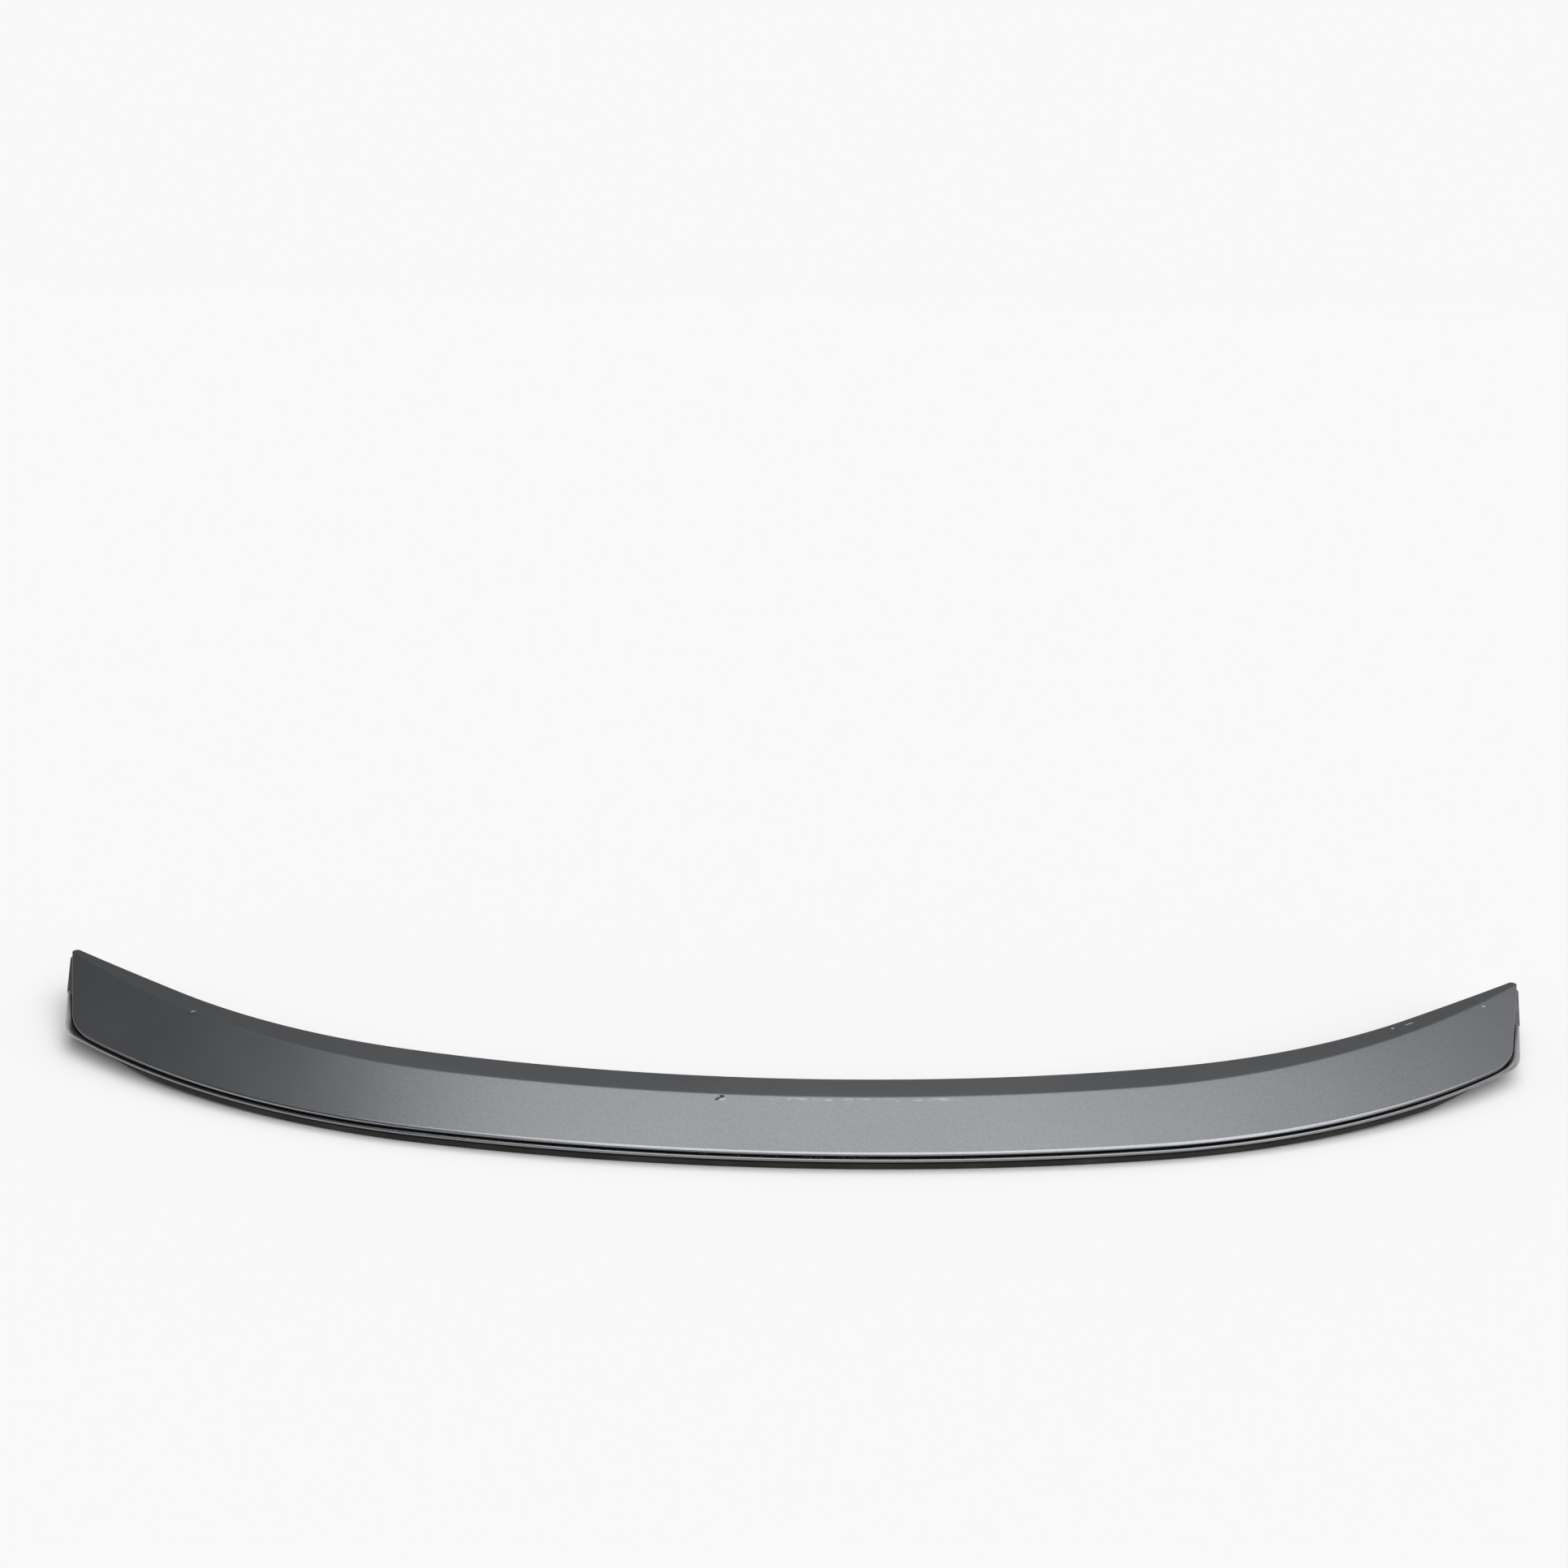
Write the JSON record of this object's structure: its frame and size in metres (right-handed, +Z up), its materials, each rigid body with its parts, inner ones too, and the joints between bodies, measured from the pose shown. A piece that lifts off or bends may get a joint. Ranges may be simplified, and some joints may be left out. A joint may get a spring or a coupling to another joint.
{
  "type": "trunk spoiler",
  "caption": "Low crescent lip spoiler for a trunk lid: creased painted skin on a black base, with an edge strip, a rear seal and threaded studs below.",
  "frame": {"origin": "middle of the bounding box's bottom, at the level of the surface that the part rests on", "axes": "X from end to end, Y from the trailing edge towards the pointed ends, Z up along the studs"},
  "size_m": [1.16, 0.2509, 0.033],
  "materials": {
    "paint": "dark grey metallic paint with clear coat",
    "black_plastic": "fine grained black",
    "seal_rubber": "dull black",
    "plated_steel": "zinc plated",
    "foam": "closed-cell foam"
  },
  "bodies": {
    "root": {"upper_skin": "paint", "edge_strip": "paint", "base_panel": "black_plastic", "rear_seal": "seal_rubber", "mounting_studs": "plated_steel", "stud_washers": "foam", "skin_screws": "plated_steel", "tape_left": "foam", "tape_centre": "foam", "tape_right": "foam"}
  },
  "joints": []
}
